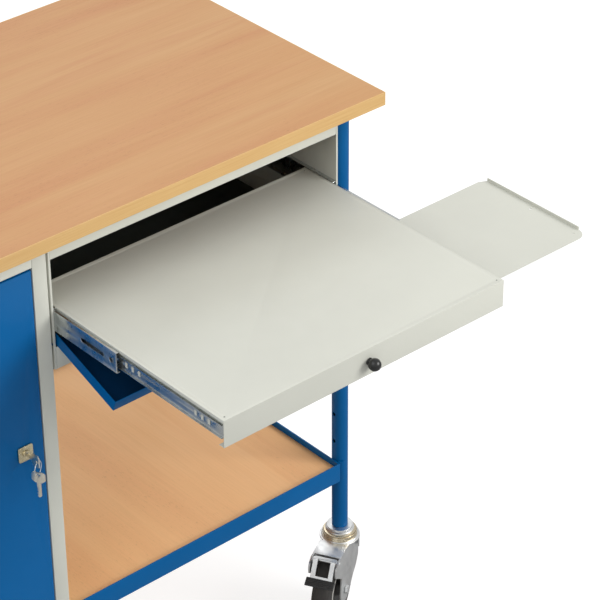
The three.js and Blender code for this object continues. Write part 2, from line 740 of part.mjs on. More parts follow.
// The plate's two outer corners are eased, and its outer edge is turned up.
function mouseTray() {
  const mouseIn = mouseOut - mouseTrayLength;
  const outline = [
    [mouseIn, mouseFront], ...arc([mouseOut - 20, mouseFront + 22], 20, -90, 0, 6).map(([x, y]) => [x, y - 2]),
    [mouseOut, mouseBack - 8], [mouseOut - 16, mouseBack], [mouseIn, mouseBack],
  ];
  const plate = prism('z', outline, mouseTop - sheet, mouseTop);
  const lip = box(mouseOut - sheet, mouseOut, mouseFront + 20, mouseBack - 8, mouseTop - sheet, mouseTop + mouseTrayLip);
  const middle = (mouseFront + mouseBack) / 2;
  const hole = rod('z', 2.2, [mouseOut - 12, middle], mouseTop - 5, mouseTop + 5, 12);
  const cornerHole = rod('z', 1.5, [mouseOut - 15, mouseFront + 18], mouseTop - 5, mouseTop + 5, 8);
  return cut(join(plate, lip), hole, cornerHole);
}
add('mouse_tray', mouseTray(), finish.grey);

// The carrier hangs under the tray like an upturned trough, with two lips that hold the side tray.
function mouseTrayCarrier() {
  const slack = 1;
  const low = mouseTop - sheet - slack - thinSheet;
  const high = trayUnder - fitGap;
  const near = mouseFront - slack - thinSheet;
  const far = mouseBack + slack + thinSheet;
  const line = [[near + guideLip, low], [near, low], [near, high], [far, high], [far, low], [far - guideLip, low]];
  const right = trayRight - trayOverhang - thinSheet - fitGap;
  return prism('x', folded(line, thinSheet, -1), mouseOut - mouseTrayLength - 296, right);
}
add('mouse_tray_carrier', mouseTrayCarrier(), finish.grey);

// ---------------------------------------------------------------- origin

// The origin is on the floor under the middle of the whole as it stands, with both trays out.
bench.updateMatrixWorld(true);
const extent = new THREE.Box3().setFromObject(bench, true);
bench.position.set(-(extent.min.x + extent.max.x) / 2, -(extent.min.y + extent.max.y) / 2, 0);

export default bench;
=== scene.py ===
# %% [markdown]
# # A mobile workbench with a pull-out tray
# The bench is drawn around a finished metal-and-wood frame that is already packed as a model.
# That frame gives every place and every moving body, so this lesson only has to make each
# piece look as it does in the workshop: pressed and painted sheet, beech board, zinc-plated
# slides and castors. Everything is in metres, with +Z up and the front facing -Y.

# %% Load the frame
import json
import math

import bmesh
import bpy
from mathutils import Matrix, Vector

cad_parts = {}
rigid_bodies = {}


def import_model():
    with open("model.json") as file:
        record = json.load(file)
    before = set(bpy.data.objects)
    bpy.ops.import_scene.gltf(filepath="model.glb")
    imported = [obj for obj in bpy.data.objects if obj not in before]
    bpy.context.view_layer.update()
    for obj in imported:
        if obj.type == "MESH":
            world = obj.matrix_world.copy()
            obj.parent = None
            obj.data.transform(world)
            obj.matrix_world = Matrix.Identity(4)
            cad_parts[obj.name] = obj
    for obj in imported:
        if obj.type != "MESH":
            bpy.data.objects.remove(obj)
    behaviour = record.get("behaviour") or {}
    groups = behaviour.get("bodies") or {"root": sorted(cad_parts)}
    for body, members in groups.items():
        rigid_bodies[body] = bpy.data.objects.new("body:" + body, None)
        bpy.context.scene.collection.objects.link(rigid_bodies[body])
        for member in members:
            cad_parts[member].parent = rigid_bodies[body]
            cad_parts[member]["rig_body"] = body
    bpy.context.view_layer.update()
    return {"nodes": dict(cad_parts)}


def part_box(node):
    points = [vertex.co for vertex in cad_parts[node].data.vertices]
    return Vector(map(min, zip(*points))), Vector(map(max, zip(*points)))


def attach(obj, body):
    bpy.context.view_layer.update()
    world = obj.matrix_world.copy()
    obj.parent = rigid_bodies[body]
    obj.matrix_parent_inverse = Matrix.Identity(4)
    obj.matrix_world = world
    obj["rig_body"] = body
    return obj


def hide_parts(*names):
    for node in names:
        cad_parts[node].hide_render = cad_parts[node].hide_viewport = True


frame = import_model()
MM = 0.001

# %% [markdown]
# ## Where the camera stands
# The bench is looked down on from its front left corner, from more than four metres away
# through a long lens, so that its lines stay almost parallel. The camera is placed first,
# because a piece is only worth its detail at the scale at which it is seen. Its place is
# measured from the worktop's right front corner, and its direction is a turn about Z, a tilt
# down, and a very small roll.

# %% Camera
CAMERA_FROM_CORNER = Vector((-2.7134, -2.9115, 2.1580))
board_low, board_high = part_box("worktop_board")
CAMERA_PLACE = Vector((board_high.x, board_low.y, board_high.z)) + CAMERA_FROM_CORNER
CAMERA_TURN = -0.712
CAMERA_TILT = 0.575
CAMERA_ROLL = -0.009
CAMERA_LENS = 159.43


def add_camera():
    data = bpy.data.cameras.new("camera")
    data.lens = CAMERA_LENS
    data.sensor_width = 36.0
    data.clip_end = 50.0
    camera = bpy.data.objects.new("camera", data)
    level = math.cos(CAMERA_TILT)
    look = Vector((
        -math.sin(CAMERA_TURN) * level, math.cos(CAMERA_TURN) * level, -math.sin(CAMERA_TILT),
    ))
    right = look.cross(Vector((0, 0, 1))).normalized()
    up = right.cross(look)
    across = right * math.cos(CAMERA_ROLL) + up * math.sin(CAMERA_ROLL)
    above = up * math.cos(CAMERA_ROLL) - right * math.sin(CAMERA_ROLL)
    turn = Matrix((across, above, -look)).transposed().to_4x4()
    camera.matrix_world = Matrix.Translation(CAMERA_PLACE) @ turn
    bpy.context.scene.collection.objects.link(camera)
    bpy.context.scene.camera = camera


add_camera()
print("camera looks from", tuple(round(v, 3) for v in CAMERA_PLACE))

# %% [markdown]
# ## Light and floor
# Painted sheet shows its folds only when the light is soft and uneven: one broad light above
# and to the left, a weaker one from the right, and a pale room all round. The floor is plain
# and close to white, so that it drops away behind the bench.

# %% Studio
def add_light(name, place, aim, size, power, colour=(1, 1, 1)):
    data = bpy.data.lights.new(name, "AREA")
    data.shape = "RECTANGLE"
    data.size, data.size_y = size
    data.energy = power
    data.color = colour
    light = bpy.data.objects.new(name, data)
    light.location = place
    light.rotation_euler = (Vector(aim) - Vector(place)).to_track_quat("-Z", "Y").to_euler()
    bpy.context.scene.collection.objects.link(light)


def node_of(tree, kind, **settings):
    made = tree.nodes.new(kind)
    for key, value in settings.items():
        setattr(made, key, value)
    return made


def add_room(strength):
    world = bpy.data.worlds.new("room")
    world.use_nodes = True
    background = world.node_tree.nodes["Background"]
    background.inputs["Color"].default_value = (1.0, 1.0, 1.0, 1)
    background.inputs["Strength"].default_value = strength
    bpy.context.scene.world = world


def add_floor(half=9.0):
    corners = [(-half, -half, 0), (half, -half, 0), (half, half, 0), (-half, half, 0)]
    mesh = bpy.data.meshes.new("floor")
    mesh.from_pydata(corners, [], [(0, 1, 2, 3)])
    floor = bpy.data.objects.new("floor", mesh)
    bpy.context.scene.collection.objects.link(floor)
    material = bpy.data.materials.new("floor_paint")
    material.use_nodes = True
    tree = material.node_tree
    output = tree.nodes["Material Output"]
    tree.nodes.remove(tree.nodes["Principled BSDF"])
    paint = node_of(tree, "ShaderNodeBsdfDiffuse")
    paint.inputs["Color"].default_value = (0.42, 0.42, 0.42, 1)
    glow = node_of(tree, "ShaderNodeEmission")
    glow.inputs["Strength"].default_value = 0.72
    path = node_of(tree, "ShaderNodeLightPath")
    seen = node_of(tree, "ShaderNodeMixShader")
    both = node_of(tree, "ShaderNodeAddShader")
    tree.links.new(path.outputs["Is Camera Ray"], seen.inputs[0])
    tree.links.new(paint.outputs[0], both.inputs[0])
    tree.links.new(glow.outputs[0], both.inputs[1])
    tree.links.new(paint.outputs[0], seen.inputs[1])
    tree.links.new(both.outputs[0], seen.inputs[2])
    tree.links.new(seen.outputs[0], output.inputs["Surface"])
    mesh.materials.append(material)


add_room(0.66)
add_light("key", (2.4, -3.6, 2.9), (0, 0, 0.6), (2.2, 2.2), 118, (1.0, 0.99, 0.97))
add_light("fill", (-2.8, -0.6, 4.0), (0, 0, 0.8), (3.0, 3.0), 46, (0.97, 0.985, 1.0))
add_light("back", (1.6, 3.4, 3.6), (0, 0, 0.8), (3.0, 2.0), 25)
add_floor()
bpy.context.scene.view_settings.view_transform = "Standard"

# %% [markdown]
# ## Finishes
# A finish is a small tree of shader nodes. All of them read the object's own coordinates, in
# metres, so a grain or an orange-peel keeps its real size on every piece. The helpers below
# add one noise, one colour ramp, one bump. Each finish is then only a few calls.

# %% Shader helpers
class Finish:
    """A material with a Principled shader, and short ways to drive its sockets."""

    def __init__(self, name, rough, metal=0.0, **sockets):
        self.material = bpy.data.materials.new(name)
        self.material.use_nodes = True
        self.tree = self.material.node_tree
        self.shader = self.tree.nodes["Principled BSDF"]
        self.shader.inputs["Metallic"].default_value = metal
        self.shader.inputs["Roughness"].default_value = rough
        for key, value in sockets.items():
            self.shader.inputs[key.replace("_", " ")].default_value = value
        self.coords = node_of(self.tree, "ShaderNodeTexCoord").outputs["Object"]

    def link(self, source, target):
        self.tree.links.new(source, target)

    def stretched(self, scale, rotation=(0, 0, 0)):
        mapping = node_of(self.tree, "ShaderNodeMapping")
        mapping.inputs["Scale"].default_value = scale
        mapping.inputs["Rotation"].default_value = rotation
        self.link(self.coords, mapping.inputs["Vector"])
        return mapping.outputs["Vector"]

    def noise(self, scale, detail=3.0, rough=0.5, distortion=0.0, vector=None):
        noise = node_of(self.tree, "ShaderNodeTexNoise")
        noise.inputs["Scale"].default_value = scale
        noise.inputs["Detail"].default_value = detail
        noise.inputs["Roughness"].default_value = rough
        noise.inputs["Distortion"].default_value = distortion
        self.link(vector or self.coords, noise.inputs["Vector"])
        return noise.outputs["Fac"]

    def ramp(self, value, *stops):
        ramp = node_of(self.tree, "ShaderNodeValToRGB")
        elements = ramp.color_ramp.elements
        while len(elements) < len(stops):
            elements.new(0.5)
        for element, (place, colour) in zip(elements, stops):
            element.position = place
            element.color = (*colour, 1)
        self.link(value, ramp.inputs["Fac"])
        return ramp.outputs["Color"]

    def spread(self, value, low, high, start=0.3, end=0.7):
        spread = node_of(self.tree, "ShaderNodeMapRange")
        limits = {"From Min": start, "From Max": end, "To Min": low, "To Max": high}
        for key, number in limits.items():
            spread.inputs[key].default_value = number
        self.link(value, spread.inputs["Value"])
        return spread.outputs["Result"]

    def mix(self, share, first, second):
        mix = node_of(self.tree, "ShaderNodeMix", data_type="RGBA")
        sockets = (mix.inputs[0], mix.inputs[6], mix.inputs[7])
        for value, socket in zip((share, first, second), sockets):
            if isinstance(value, bpy.types.NodeSocket):
                self.link(value, socket)
            elif isinstance(value, tuple):
                socket.default_value = (*value, 1)
            else:
                socket.default_value = value
        return mix.outputs[2]

    def bump(self, height, depth, strength=1.0):
        bump = node_of(self.tree, "ShaderNodeBump")
        bump.inputs["Strength"].default_value = strength
        bump.inputs["Distance"].default_value = depth
        self.link(height, bump.inputs["Height"])
        self.link(bump.outputs["Normal"], self.shader.inputs["Normal"])

    def drive(self, socket, source):
        self.link(source, self.shader.inputs[socket])


def srgb(red, green, blue):
    """A colour as a paint chart gives it, from 0 to 255, turned into the light it sends back."""
    def linear(value):
        value /= 255
        return value / 12.92 if value <= 0.04045 else ((value + 0.055) / 1.055) ** 2.4

    return linear(red), linear(green), linear(blue)


print("pale grey as light:", tuple(round(v, 3) for v in srgb(213, 214, 204)))

# %% [markdown]
# ### Powder coat
# The sheet metal and the tubes are powder coated. Powder flows as it bakes and leaves a very
# fine orange peel, about a millimetre from crest to crest, and its gloss is never quite even.
# One noise gives the peel, and a much broader one shifts colour and roughness a little.

# %% Powder coats
def powder_coat(name, colour, rough, drift=0.035, peel=0.000012, shine=0.4):
    coat = Finish(name, rough, Specular_IOR_Level=shine)
    dark = tuple(v * (1 - drift) for v in colour)
    light = tuple(min(1, v * (1 + drift)) for v in colour)
    coat.drive("Base Color", coat.ramp(coat.noise(5.5, 4), (0.3, dark), (0.7, light)))
    coat.drive("Roughness", coat.spread(coat.noise(38, 3), rough - 0.05, rough + 0.07))
    coat.bump(coat.noise(900, 2), peel, 0.5)
    return coat.material


GREY_COAT = powder_coat("grey_coat", srgb(210, 211, 201), 0.42)
BLUE_COAT = powder_coat("blue_coat", srgb(0, 94, 156), 0.40, 0.06, shine=0.15)
# A much darker blue, painted shade for the flap's inner face, which lies in shadow under the tray.
BLUE_PAINTED_SHADE = powder_coat("blue_painted_shade", srgb(0, 46, 84), 0.45, 0.06, shine=0.1)
# The next two coats are dark greys that paint the shade inside the housing. The first also colours
# the tray's caps.
PAINTED_SHADE_GREY = powder_coat("painted_shade_grey", srgb(104, 113, 109), 0.6, 0.1, shine=0.1)
FLOOR_PAINTED_SHADE = powder_coat("floor_painted_shade", srgb(64, 70, 68), 0.5, 0.1, shine=0.1)
print("coats:", GREY_COAT.name, BLUE_COAT.name, PAINTED_SHADE_GREY.name)

# %% [markdown]
# ### Beech
# The boards are faced with a beech laminate. Steamed beech is a warm, even tan. Long soft
# bands of pink and straw run with the grain, and short dark flecks lie along it. The same noise
# is stretched along the grain for the bands and again for fine streaks, and a third, broken
# into dashes by a steep ramp, makes the flecks. The print is the same on every board, so one
# function makes both. The grain runs another way on the shelf, and the shelf's copy is painted
# much lighter, as painted light for the light that falls on the lower shelf.

# %% Beech boards
def beech(name, along, tan, straw, pink, rough=0.38):
    wood = Finish(name, rough, Specular_IOR_Level=0.22)

    def grain(length, width):
        if along == "x":
            return 1 / length, 1 / width, 1 / width
        return 1 / width, 1 / length, 1 / width

    bands = wood.noise(1.0, 3, 0.55, 0.35, wood.stretched(grain(1.3, 0.16)))
    veins = wood.noise(1.0, 5, 0.6, 0.6, wood.stretched(grain(0.5, 0.035)))
    streaks = wood.noise(1.0, 4, 0.6, 0.2, wood.stretched(grain(0.16, 0.0035)))
    flecks = wood.noise(1.0, 1, 0.5, 0.0, wood.stretched(grain(0.011, 0.0013)))
    base = wood.ramp(bands, (0.30, straw), (0.50, tan), (0.70, pink))
    veined = wood.mix(wood.spread(veins, 0.0, 0.55, 0.52, 0.72), base, pink)
    dark_tan = tuple(v * 0.80 for v in tan)
    streaked = wood.mix(wood.spread(streaks, 0.0, 0.30, 0.35, 0.75), veined, dark_tan)
    patches = wood.spread(bands, 0.0, 0.5, 0.45, 0.62)
    dashes = wood.spread(flecks, 0.0, 1.0, 0.66, 0.72)
    fleck_share = node_of(wood.tree, "ShaderNodeMath", operation="MULTIPLY")
    wood.link(patches, fleck_share.inputs[0])
    wood.link(dashes, fleck_share.inputs[1])
    colour = wood.mix(fleck_share.outputs[0], streaked, tuple(v * 0.62 for v in pink))
    wood.drive("Base Color", colour)
    wood.drive("Roughness", wood.spread(streaks, rough - 0.05, rough + 0.08))
    wood.bump(wood.noise(700, 3), 0.00001, 0.4)
    return wood.material


BEECH_TOP = beech("beech_top", "x", srgb(204, 154, 105), srgb(207, 162, 113), srgb(197, 137, 94))
# The shelf's tan, straw and pink are painted much lighter than the worktop's, as painted light on
# the lower shelf.
BEECH_SHELF_PAINTED_LIGHT = beech(
    "beech_shelf_painted_light", "y", srgb(248, 192, 136), srgb(251, 200, 147), srgb(240, 178, 125),
)


def edge_band():
    band = Finish("edge_band", 0.42, Specular_IOR_Level=0.4)
    lines = band.noise(1.0, 4, 0.6, 0.1, band.stretched((9, 9, 900)))
    straw = band.ramp(lines, (0.3, srgb(209, 164, 103)), (0.7, srgb(222, 185, 126)))
    band.drive("Base Color", straw)
    band.drive("Roughness", band.spread(lines, 0.36, 0.5))
    band.bump(lines, 0.00003, 0.4)
    return band.material


EDGE_BAND = edge_band()
print("boards:", BEECH_TOP.name, BEECH_SHELF_PAINTED_LIGHT.name, EDGE_BAND.name)

# %% [markdown]
# ### Plated metal, plastic and rubber
# Zinc plate is bright but cloudy: a patchy roughness over a faint blue tint, with fine lines
# where the sheet was rolled. Nickel on the lock is warmer and more worn. The knob and the pedal
# are moulded plastic, glossy with a faint moulding texture, and the tyres are matt rubber that
# has picked up dust.

# %% Small finishes
def plated(name, colour, rough, cloud=18, tint=0.12, lines=None):
    metal = Finish(name, rough, 1.0)
    clouds = metal.noise(cloud, 4, 0.6)
    low = tuple(v * (1 - tint) for v in colour)
    metal.drive("Base Color", metal.ramp(clouds, (0.3, low), (0.7, colour)))
    metal.drive("Roughness", metal.spread(metal.noise(cloud * 4, 4), rough - 0.08, rough + 0.14))
    metal.bump(metal.noise(1.0, 3, vector=metal.stretched(lines or (500, 500, 500))), 0.000008, 0.4)
    return metal.material


def moulded(name, colour, rough, grain, depth):
    plastic = Finish(name, rough, Specular_IOR_Level=0.5)
    dust = plastic.noise(24, 4)
    pale = tuple(min(1, v * 1.5 + 0.004) for v in colour)
    plastic.drive("Base Color", plastic.ramp(dust, (0.35, colour), (0.75, pale)))
    plastic.drive("Roughness", plastic.spread(dust, rough - 0.06, rough + 0.1))
    plastic.bump(plastic.noise(grain, 2), depth, 0.5)
    return plastic.material


ZINC = plated("zinc_plate", (0.83, 0.84, 0.84), 0.36, tint=0.08)
RACE_STEEL = plated("race_steel", (0.78, 0.68, 0.50), 0.24, 40, 0.15)
SLIDE_STEEL = plated("slide_steel", (0.66, 0.69, 0.69), 0.26, 9, 0.08, (700, 9, 700))
NICKEL = plated("nickel_plate", (0.84, 0.74, 0.50), 0.26, 160, 0.25)
KEY_STEEL = plated("key_steel", (0.96, 0.90, 0.76), 0.32, 200, 0.12)
BLACK_GLOSS = moulded("black_gloss", (0.008, 0.008, 0.008), 0.22, 600, 0.00001)
PEDAL_BLACK = moulded("pedal_black", (0.022, 0.022, 0.022), 0.42, 500, 0.00003)
TYRE_RUBBER = moulded("tyre_rubber", (0.028, 0.025, 0.022), 0.55, 350, 0.00006)
RIM_DARK = moulded("rim_dark", (0.05, 0.048, 0.045), 0.45, 400, 0.00003)
RIM_PALE = moulded("rim_pale", (0.42, 0.41, 0.38), 0.4, 400, 0.00002)
print("small finishes: 10")

# %% [markdown]
# ## Making pieces
# Folded sheet has no truly sharp edge, and it is the thin highlight on a fold that makes sheet
# look like sheet. Since the frame already holds each sheet's shape, its piece starts as a copy
# of that shape: the flat triangles are joined back into whole faces, and a bevel rounds every
# edge by less than half the sheet's thickness. The copy then stands for the frame's own node.

# %% Mesh helpers
SAME_POINT = 2e-6
SAME_PLANE = math.radians(1.5)


def as_object(name, bm, material):
    mesh = bpy.data.meshes.new(name)
    bm.to_mesh(mesh)
    bm.free()
    mesh.materials.append(material)
    made = bpy.data.objects.new(name, mesh)
    bpy.context.scene.collection.objects.link(made)
    return made


def smooth(made, degrees=32):
    made.data.shade_smooth()
    made.data.set_sharp_from_angle(angle=math.radians(degrees))
    return made


def bake(made):
    """Turns an object's modifiers into plain mesh."""
    evaluated = made.evaluated_get(bpy.context.evaluated_depsgraph_get())
    made_mesh = bpy.data.meshes.new_from_object(evaluated)
    made.modifiers.clear()
    old, made.data = made.data, made_mesh
    made_mesh.name = made.name
    bpy.data.meshes.remove(old)


def round_edges(made, width, segments=2, degrees=38):
    bevel = made.modifiers.new("round", "BEVEL")
    bevel.width = width
    bevel.segments = segments
    bevel.limit_method = "ANGLE"
    bevel.angle_limit = math.radians(degrees)
    bevel.harden_normals = True
    made.data.shade_smooth()
    bake(made)
    return made


def place(made, node, slot, *others):
    """Rides on the body of a CAD node, and stands for that node."""
    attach(made, frame["nodes"][node]["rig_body"])
    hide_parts(node, *others)
    return made


def flat_copy(node):
    bm = bmesh.new()
    bm.from_mesh(frame["nodes"][node].data)
    bmesh.ops.remove_doubles(bm, verts=bm.verts, dist=SAME_POINT)
    bmesh.ops.dissolve_limit(bm, angle_limit=SAME_PLANE, verts=bm.verts, edges=bm.edges)
    return bm


def softened(node, material, slot, width=0.45, segments=2):
    made = as_object(node + "_shown", flat_copy(node), material)
    round_edges(made, width * MM, segments)
    return place(made, node, slot)


def block(low, high):
    bm = bmesh.new()
    bmesh.ops.create_cube(bm, size=1)
    size = Vector(high) - Vector(low)
    bm.transform(Matrix.Translation((Vector(low) + Vector(high)) / 2) @ Matrix.Diagonal((*size, 1)))
    return bm


def centre(node):
    low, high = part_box(node)
    return (low + high) / 2


print("helpers ready")

# %% [markdown]
# ## The sheet-metal casings
# Cabinet, housing, tray and side tray are all sheet of one to one and a half millimetres, so
# they share one call. The two side walls of the cabinet carry the wide front stiles.

# %% Grey sheet
GREY_NODES = [
    "cabinet_side_left", "cabinet_side_right", "cabinet_back", "cabinet_floor", "cabinet_top_rail",
    "cabinet_inner_shelf", "housing_side_left", "housing_side_right", "housing_top_rail",
    "pull_out_tray", "mouse_tray", "mouse_tray_carrier",
]
for node in GREY_NODES:
    softened(node, GREY_COAT, "grey_coat")

# The side tray's plate is one broad face with cut corners, which only flat shading keeps even.
side_plate = bpy.data.objects["mouse_tray_shown"].data
if "custom_normal" in side_plate.attributes:
    side_plate.attributes.remove(side_plate.attributes["custom_normal"])
side_plate.shade_flat()
print("grey pieces:", len(GREY_NODES))

# %% [markdown]
# The housing's back and floor are seen only through the gap above the tray, where they lie in
# deep shade and look nearly black. Their inner faces are painted dark grey as painted shade for
# that gap. Their outer faces and the floor's upturned front rail, whose faces lie close to the
# front, are in the same grey as the rest. A flange at each side of the floor closes the seam to
# the wall, and it is painted in the same shade.

# %% Painted shade inside the housing
# The back's inner faces take the dark grey as painted shade. Only its outward face takes the plain
# grey.
back_sheet = softened("housing_back", PAINTED_SHADE_GREY, "grey_coat")
back_sheet.data.materials.append(GREY_COAT)
for face in back_sheet.data.polygons:
    face.material_index = 1 if face.normal.y > 0.5 else 0
floor_sheet = softened("housing_floor", GREY_COAT, "grey_coat")
floor_sheet.data.materials.append(FLOOR_PAINTED_SHADE)
RAIL_DEPTH = 2.2 * MM
SIDE_FLANGE = 2.6 * MM
FLANGE_SET_BACK = 8 * MM
FLANGE_THICKNESS = 1.5 * MM
rail_low, rail_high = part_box("housing_floor")
# Behind the front rail, the floor's upper faces take the darker grey as painted shade.
for face in floor_sheet.data.polygons:
    behind_rail = face.center.y > rail_low.y + RAIL_DEPTH
    face.material_index = 1 if behind_rail and face.normal.z > -0.5 else 0
# The side flanges are painted in the same floor shade.
for hand, edge in (("left", rail_low.x - SIDE_FLANGE), ("right", rail_high.x)):
    start = Vector((edge, rail_low.y + FLANGE_SET_BACK, rail_low.z))
    end = Vector((edge + SIDE_FLANGE, rail_high.y, rail_low.z + FLANGE_THICKNESS))
    flange = as_object("housing_floor_flange_" + hand, block(start, end), FLOOR_PAINTED_SHADE)
    place(flange, "housing_floor", "grey_coat")
print("housing floor spans", tuple(round(v, 3) for v in rail_high - rail_low))

# %% [markdown]
# ## Blue frame
# The legs are round tube. A lathe helper turns a profile of radius and height about an axis, and
# is used again for the castors and the knob. The row of holes on the inner side of
# each leg is cut with a boolean, because a hole cut through a wall shows its thickness.

# %% Lathe helper and legs
def turned(profile, segments=48, close=False):
    """A profile of (radius, height) turned about Z. A radius of nought closes an end."""
    bm = bmesh.new()
    rings = []
    for radius, height in profile:
        if radius < 1e-7:
            rings.append([bm.verts.new((0, 0, height))])
            continue
        ring = []
        for step in range(segments):
            angle = 2 * math.pi * step / segments
            ring.append(bm.verts.new((radius * math.cos(angle), radius * math.sin(angle), height)))
        rings.append(ring)
    pairs = list(zip(rings, rings[1:]))
    if close:
        pairs.append((rings[-1], rings[0]))
    for lower, upper in pairs:
        for step in range(segments):
            after = (step + 1) % segments
            if len(lower) == 1 and len(upper) > 1:
                bm.faces.new((lower[0], upper[after], upper[step]))
            elif len(upper) == 1 and len(lower) > 1:
                bm.faces.new((lower[step], lower[after], upper[0]))
            elif len(lower) > 1:
                bm.faces.new((lower[step], lower[after], upper[after], upper[step]))
    bmesh.ops.recalc_face_normals(bm, faces=bm.faces)
    return bm


def moved(bm, matrix):
    bm.transform(matrix)
    return bm


def cut_away(made, cutters):
    for cutter in cutters:
        boolean = made.modifiers.new("cut", "BOOLEAN")
        boolean.object = cutter
        boolean.operation = "DIFFERENCE"
        boolean.solver = "EXACT"
    bake(made)
    for cutter in cutters:
        bpy.data.objects.remove(cutter)


CORNERS = {
    "front_right": (1, -1), "front_left": (-1, -1), "rear_right": (1, 1), "rear_left": (-1, 1),
}
LEG_WALL = 1.5 * MM
LEG_CHAMFER = 0.3 * MM
HOLE_RADIUS = 4 * MM
HOLE_PITCH = 60 * MM
HOLE_COUNT = 8
FIRST_HOLE = 42 * MM
shelf_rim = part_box("shelf_rail_front")[1].z

for corner, (side, _) in CORNERS.items():
    node = "leg_" + corner
    low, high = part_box(node)
    middle = (low + high) / 2
    radius = (high.x - low.x) / 2
    inner = radius - LEG_WALL
    wall = [
        (inner, low.z), (radius - LEG_CHAMFER, low.z), (radius, low.z + LEG_CHAMFER),
        (radius, high.z), (inner, high.z),
    ]
    here = Matrix.Translation((middle.x, middle.y, 0))
    tube = as_object(node + "_shown", moved(turned(wall, 64, close=True), here), BLUE_COAT)
    through = radius * 1.3
    inwards = Matrix.Rotation(-side * math.pi / 2, 4, "Y")
    drills = []
    for step in range(HOLE_COUNT):
        drill = turned([(0, 0), (HOLE_RADIUS, 0), (HOLE_RADIUS, through), (0, through)], 24)
        aim = Matrix.Translation((middle.x, middle.y, shelf_rim + FIRST_HOLE + step * HOLE_PITCH))
        drills.append(as_object("drill", moved(drill, aim @ inwards), BLUE_COAT))
    cut_away(tube, drills)
    place(smooth(tube), node, "blue_coat")
print("legs:", len(CORNERS))

# %% Shelf frame, door and flap
for node in ["shelf_rail_front", "shelf_rail_back", "shelf_rail_left", "shelf_rail_right"]:
    softened(node, BLUE_COAT, "blue_coat", 0.9, 3)
for corner in CORNERS:
    softened("shelf_saddle_" + corner, BLUE_COAT, "blue_coat", 0.6)
softened("cabinet_door", BLUE_COAT, "blue_coat", 0.6, 3)
flap = softened("drop_flap", BLUE_COAT, "blue_coat", 0.5)
# The flap's broad inner face, in the tray's shadow, takes the darker blue as painted shade.
flap.data.materials.append(BLUE_PAINTED_SHADE)
for face in flap.data.polygons:
    face.material_index = 1 if face.normal.z > 0.9 and face.area > 0.01 else 0
print("blue pieces:", 4 + len(CORNERS) + 2)

# %% [markdown]
# ## Boards
# The worktop is one faced board with a two-millimetre band glued round its edge. Its visible
# piece is the board without the band, and each band is a strip whose outer long edges are
# eased by a router. The lower shelf is a plain board in the steel frame.

# %% Worktop, band and shelf
BAND = 2 * MM
low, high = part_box("worktop_board")
inset = Vector((BAND, BAND, 0))
board = as_object("worktop_face", block(low + inset, high - inset), BEECH_TOP)
place(round_edges(board, 0.15 * MM), "worktop_board", "beech_laminate")
bands = {
    "front": (low, Vector((high.x, low.y + BAND, high.z))),
    "rear": (Vector((low.x, high.y - BAND, low.z)), high),
    "left": (
        Vector((low.x, low.y + BAND, low.z)), Vector((low.x + BAND, high.y - BAND, high.z)),
    ),
    "right": (
        Vector((high.x - BAND, low.y + BAND, low.z)), Vector((high.x, high.y - BAND, high.z)),
    ),
}
for side, (start, end) in bands.items():
    strip = round_edges(as_object("edge_band_" + side, block(start, end), EDGE_BAND), 0.7 * MM, 3)
    place(strip, "worktop_board", "beech_laminate")
# The shelf takes the lighter beech, which paints the light falling on it.
softened("lower_shelf_board", BEECH_SHELF_PAINTED_LIGHT, "beech_laminate", 0.5)
print("board", tuple(round(v, 3) for v in high - low))

# %% [markdown]
# ## Slides
# A telescopic slide is three nested channels with balls between them. The frame holds the three
# members. What it doesn't hold is the rows of balls, the rivets and the pressed tabs, and those
# are what catches the light on a real slide.

# %% Slides
for member in ["outer", "middle", "inner"]:
    for hand in ["left", "right"]:
        softened(f"slide_{member}_{hand}", SLIDE_STEEL, "zinc_plate", 0.3)

# Tabs are pushed into the inner members' slots, in two groups of three. Their pale grey coat, not
# the slide's plated steel, is a painted highlight for the light that pressed tabs catch.
SLIDE_SHEET = 1.2 * MM
TAB_THICKNESS = 0.5 * MM
TAB_HALF_HEIGHT = 4.6 * MM
TAB_FRONT = 0.6 * MM
TAB_BACK = 6.0 * MM
TAB_STARTS = (30, 46, 62, 200, 216, 232)     # millimetres behind the member's front end

for hand, way in (("left", 1), ("right", -1)):
    node = "slide_inner_" + hand
    low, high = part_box(node)
    web = (high.x - SLIDE_SHEET) if way > 0 else (low.x + SLIDE_SHEET)
    face = web - way * TAB_THICKNESS
    level = (low.z + high.z) / 2
    for start in TAB_STARTS:
        near = low.y + start * MM
        corner_low = Vector((min(web, face), near + TAB_FRONT, level - TAB_HALF_HEIGHT))
        corner_high = Vector((max(web, face), near + TAB_BACK, level + TAB_HALF_HEIGHT))
        # Each tab's pale grey coat is a painted highlight.
        tab = as_object(f"{node}_tab_{start}", block(corner_low, corner_high), GREY_COAT)
        place(round_edges(tab, 0.12 * MM), node, "zinc_plate")
print("slide members: 6, tabs: 12")

# %% [markdown]
# ## Knob
# The ball knob is turned plastic on a short neck.

# %% Knob
def along(axis):
    """A turn that takes +Z to the given direction."""
    return Vector((0, 0, 1)).rotation_difference(Vector(axis)).to_matrix().to_4x4()


def arc(middle, radius, start, end, steps):
    points = []
    for step in range(steps + 1):
        angle = math.radians(start + (end - start) * step / steps)
        points.append((middle[0] + radius * math.cos(angle), middle[1] + radius * math.sin(angle)))
    return points


